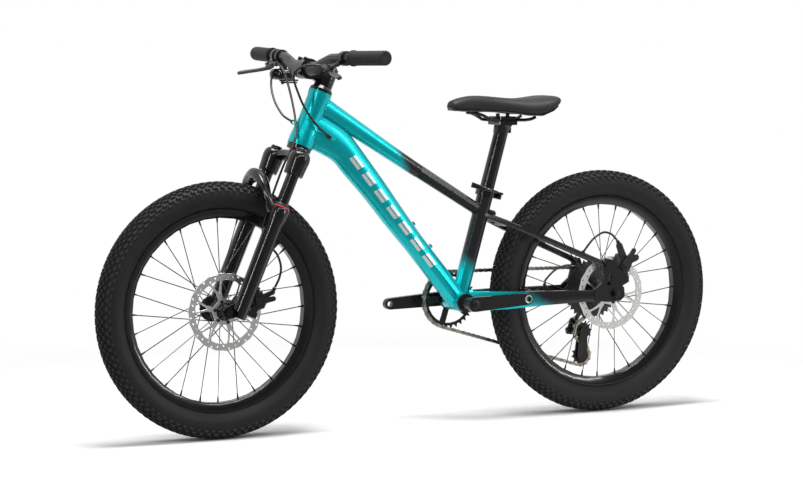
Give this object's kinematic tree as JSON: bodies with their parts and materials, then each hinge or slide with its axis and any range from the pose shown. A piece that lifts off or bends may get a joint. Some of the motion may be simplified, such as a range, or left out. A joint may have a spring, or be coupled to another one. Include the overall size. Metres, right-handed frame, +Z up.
{
  "type": "kids mountain bike",
  "caption": "Child's mountain bike with fat knobbed tyres, suspension fork, disc brakes and a single chainring with a rear derailleur.",
  "frame": {"origin": "on the ground, midway between the two axles", "axes": "+X forward, +Y to the rider's left, +Z up"},
  "size_m": [1.434, 0.6334, 0.7974],
  "materials": {
    "frame_paint": "gloss teal that fades to black toward the saddle and the rear wheel",
    "black_metal": "gloss black",
    "satin_metal": "satin black",
    "steel": "plain steel",
    "chain_steel": "oiled steel",
    "tyre_rubber": "black tread rubber",
    "grip_rubber": "matte black rubber",
    "cable_housing": "black sleeve",
    "saddle_cover": "matte black synthetic leather",
    "plastic": "matte black plastic"
  },
  "bodies": {
    "chassis": {"frame": "frame_paint", "seat_clamp_collar": "black_metal", "headset_lower_cup": "black_metal", "headset_upper_cup": "black_metal", "bottom_bracket_cartridge": "satin_metal", "derailleur_bracket": "satin_metal", "rear_axle": "steel", "rear_caliper": "satin_metal", "rear_brake_cable_rear": "cable_housing", "shift_cable_rear": "cable_housing", "chain": "chain_steel"},
    "seat": {"seatpost": "black_metal", "saddle_clamp_upper": "black_metal", "saddle_rails": "steel", "saddle_shell": "plastic", "saddle_cushion": "saddle_cover"},
    "seat_clamp_handle": {"seat_clamp_lever": "black_metal"},
    "steering": {"fork_crown": "satin_metal", "stanchion_left": "black_metal", "stanchion_right": "black_metal", "headset_top_cover": "black_metal", "stem": "black_metal", "stem_faceplate": "black_metal", "handlebar": "black_metal", "grip_left": "grip_rubber", "grip_right": "grip_rubber", "brake_body_left": "satin_metal", "brake_body_right": "satin_metal", "shifter_body": "plastic", "front_brake_cable": "cable_housing", "rear_brake_cable_front": "cable_housing", "shift_cable_front": "cable_housing"},
    "left_brake_lever": {"brake_lever_left": "satin_metal"},
    "right_brake_lever": {"brake_lever_right": "satin_metal"},
    "thumb_lever": {"shift_thumb_lever": "plastic"},
    "release_lever": {"shift_release_lever": "plastic"},
    "lower_fork": {"fork_lowers": "satin_metal", "front_caliper": "satin_metal", "front_axle": "steel"},
    "front_brake_arm": {"front_caliper_arm": "satin_metal"},
    "rear_brake_arm": {"rear_caliper_arm": "satin_metal"},
    "front_wheel": {"front_hub_spokes": "black_metal", "front_rim": "black_metal", "front_tyre": "tyre_rubber", "front_rotor": "steel"},
    "rear_wheel": {"rear_hub_spokes": "black_metal", "rear_rim": "black_metal", "rear_tyre": "tyre_rubber", "rear_rotor": "steel"},
    "sprockets": {"cassette": "satin_metal"},
    "crankset": {"crank_spindle": "steel", "crank_arm_left": "black_metal", "crank_arm_right": "black_metal", "chainring": "black_metal"},
    "mech_link": {"derailleur_link": "satin_metal"},
    "mech_knuckle": {"derailleur_knuckle": "satin_metal"},
    "mech_cage": {"derailleur_cage": "satin_metal"},
    "upper_pulley": {"guide_pulley": "plastic"},
    "lower_pulley": {"tension_pulley": "plastic"}
  },
  "joints": [
    {"name": "steering_turn", "type": "hinge", "parent": "chassis", "child": "steering", "pos_m": [0.4171, 0, 0.24997], "axis": [-0.3955, 0, 0.9184], "range_deg": [-75, 75], "deforming": ["rear_brake_cable_front", "shift_cable_front"]},
    {"name": "fork_travel", "type": "slide", "parent": "steering", "child": "lower_fork", "axis": [-0.3955, 0, 0.9184], "range_m": [0, 0.05], "stiffness_N_per_m": 4000, "springref_m": -0.02, "deforming": ["front_brake_cable"]},
    {"name": "front_wheel_spin", "type": "hinge", "parent": "lower_fork", "child": "front_wheel", "pos_m": [0.452, 0, 0.265], "axis": [0, 1, 0], "continuous": true},
    {"name": "rear_wheel_spin", "type": "hinge", "parent": "chassis", "child": "rear_wheel", "pos_m": [-0.452, 0, 0.265], "axis": [0, 1, 0], "continuous": true},
    {"name": "crank_spin", "type": "hinge", "parent": "chassis", "child": "crankset", "pos_m": [-0.104, 0, 0.257], "axis": [0, 1, 0], "continuous": true, "deforming": ["chain"]},
    {"name": "cassette_spin", "type": "hinge", "parent": "chassis", "child": "sprockets", "pos_m": [-0.452, 0, 0.265], "axis": [0, 1, 0], "continuous": true, "deforming": ["chain"]},
    {"name": "mech_swing", "type": "hinge", "parent": "chassis", "child": "mech_link", "pos_m": [-0.46, -0.083, 0.218], "axis": [0.7071, 0, 0.7071], "range_deg": [-30, 13], "stiffness_Nm_per_rad": 0.8, "deforming": ["chain"]},
    {"name": "mech_follow", "type": "hinge", "parent": "mech_link", "child": "mech_knuckle", "pos_m": [-0.43, -0.064, 0.188], "axis": [0.7071, 0, 0.7071], "range_deg": [-13, 30], "deforming": ["chain"]},
    {"name": "cage_swing", "type": "hinge", "parent": "mech_knuckle", "child": "mech_cage", "pos_m": [-0.437, -0.0396, 0.172], "axis": [0, 1, 0], "range_deg": [-50, 20], "stiffness_Nm_per_rad": 0.6, "deforming": ["chain"]},
    {"name": "upper_pulley_spin", "type": "hinge", "parent": "mech_cage", "child": "upper_pulley", "pos_m": [-0.437, -0.0396, 0.172], "axis": [0, 1, 0], "continuous": true, "deforming": ["chain"]},
    {"name": "lower_pulley_spin", "type": "hinge", "parent": "mech_cage", "child": "lower_pulley", "pos_m": [-0.43144, -0.0396, 0.11929], "axis": [0, 1, 0], "continuous": true, "deforming": ["chain"]},
    {"name": "left_brake_pull", "type": "hinge", "parent": "steering", "child": "left_brake_lever", "pos_m": [0.26798, 0.15, 0.75592], "axis": [0.4226, 0, 0.9063], "range_deg": [0, 25], "stiffness_Nm_per_rad": 1.2, "springref_deg": -5.73},
    {"name": "right_brake_pull", "type": "hinge", "parent": "steering", "child": "right_brake_lever", "pos_m": [0.26798, -0.15, 0.75592], "axis": [-0.4226, 0, -0.9063], "range_deg": [0, 25], "stiffness_Nm_per_rad": 1.2, "springref_deg": -5.73},
    {"name": "front_brake_swing", "type": "hinge", "parent": "lower_fork", "child": "front_brake_arm", "pos_m": [0.38304, 0.0345, 0.28569], "axis": [0, 1, 0], "range_deg": [0, 16]},
    {"name": "rear_brake_swing", "type": "hinge", "parent": "chassis", "child": "rear_brake_arm", "pos_m": [-0.48129, 0.0522, 0.33078], "axis": [0, 1, 0], "range_deg": [0, 16]},
    {"name": "thumb_push", "type": "hinge", "parent": "steering", "child": "thumb_lever", "pos_m": [0.23838, -0.15, 0.72822], "axis": [0, 0, 1], "range_deg": [0, 30], "stiffness_Nm_per_rad": 0.3, "springref_deg": -5.73},
    {"name": "release_pull", "type": "hinge", "parent": "steering", "child": "release_lever", "pos_m": [0.23838, -0.15, 0.72432], "axis": [0, 0, -1], "range_deg": [0, 20], "stiffness_Nm_per_rad": 0.3, "springref_deg": -5.73},
    {"name": "seat_height", "type": "slide", "parent": "chassis", "child": "seat", "axis": [-0.2756, 0, 0.9613], "range_m": [-0.075, 0.035]},
    {"name": "seat_clamp_open", "type": "hinge", "parent": "chassis", "child": "seat_clamp_handle", "pos_m": [-0.19467, 0.0175, 0.48067], "axis": [-0.2756, 0, 0.9613], "range_deg": [0, 160]}
  ],
  "couplings": [
    {"joint": "cassette_spin", "follows": "crank_spin", "ratio": 1.25},
    {"joint": "upper_pulley_spin", "follows": "crank_spin", "ratio": -2.7273},
    {"joint": "lower_pulley_spin", "follows": "crank_spin", "ratio": 2.7273},
    {"joint": "mech_follow", "follows": "mech_swing", "ratio": -1},
    {"joint": "front_brake_swing", "follows": "right_brake_pull", "ratio": 0.64},
    {"joint": "rear_brake_swing", "follows": "left_brake_pull", "ratio": 0.64}
  ]
}
